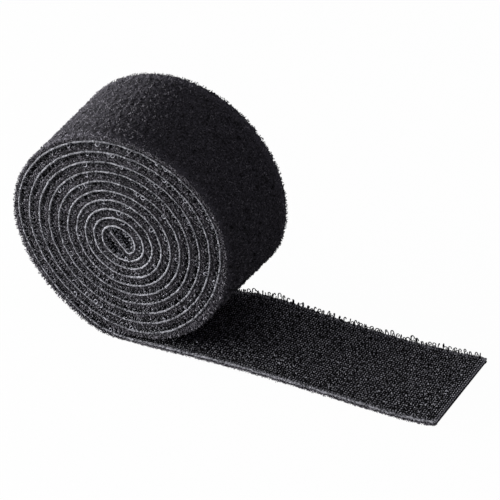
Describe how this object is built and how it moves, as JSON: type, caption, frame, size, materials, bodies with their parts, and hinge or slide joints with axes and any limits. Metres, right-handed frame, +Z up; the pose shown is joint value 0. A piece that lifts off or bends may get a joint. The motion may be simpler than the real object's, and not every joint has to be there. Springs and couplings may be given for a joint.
{
  "type": "hook and loop tape roll",
  "caption": "Roll of back-to-back hook and loop tape, hooks facing inward and up, napped loops facing outward, with a square-cut free end lying out flat that bends at fold lines.",
  "frame": {"origin": "on the resting surface, under the middle of the winding, halfway across the tape", "axes": "+X along the free end, away from the winding; +Y across the tape, along the winding's axis; +Z up"},
  "size_m": [0.0881, 0.025, 0.0438],
  "materials": {
    "hook_tape": "woven nylon with stiff monofilament hooks, coated on its back, cut edge light grey",
    "bond_film": "thin flexible laminating film",
    "loop_tape": "napped nylon loop pile, charcoal"
  },
  "bodies": {
    "roll": {"hook_tape_winding": "hook_tape", "bond_film_winding": "bond_film", "loop_tape_winding": "loop_tape", "hook_tape_lead": "hook_tape", "bond_film_lead": "bond_film", "loop_tape_lead": "loop_tape"},
    "tail_1": {"hook_tape_panel_1": "hook_tape", "bond_film_panel_1": "bond_film", "loop_tape_panel_1": "loop_tape"},
    "tail_2": {"hook_tape_panel_2": "hook_tape", "bond_film_panel_2": "bond_film", "loop_tape_panel_2": "loop_tape"},
    "tail_3": {"hook_tape_panel_3": "hook_tape", "bond_film_panel_3": "bond_film", "loop_tape_panel_3": "loop_tape"},
    "tail_4": {"hook_tape_panel_4": "hook_tape", "bond_film_panel_4": "bond_film", "loop_tape_panel_4": "loop_tape"}
  },
  "joints": [
    {"name": "tail_bend_1", "type": "hinge", "parent": "roll", "child": "tail_1", "pos_m": [0.00814, 0, 0.00085], "axis": [0, -1, 0], "range_deg": [0, 33]},
    {"name": "tail_bend_2", "type": "hinge", "parent": "tail_1", "child": "tail_2", "pos_m": [0.02236, 0, 0.00085], "axis": [0, -1, 0], "range_deg": [0, 40]},
    {"name": "tail_bend_3", "type": "hinge", "parent": "tail_2", "child": "tail_3", "pos_m": [0.03658, 0, 0.00085], "axis": [0, -1, 0], "range_deg": [0, 33]},
    {"name": "tail_bend_4", "type": "hinge", "parent": "tail_3", "child": "tail_4", "pos_m": [0.05081, 0, 0.00085], "axis": [0, -1, 0], "range_deg": [0, 36]}
  ]
}
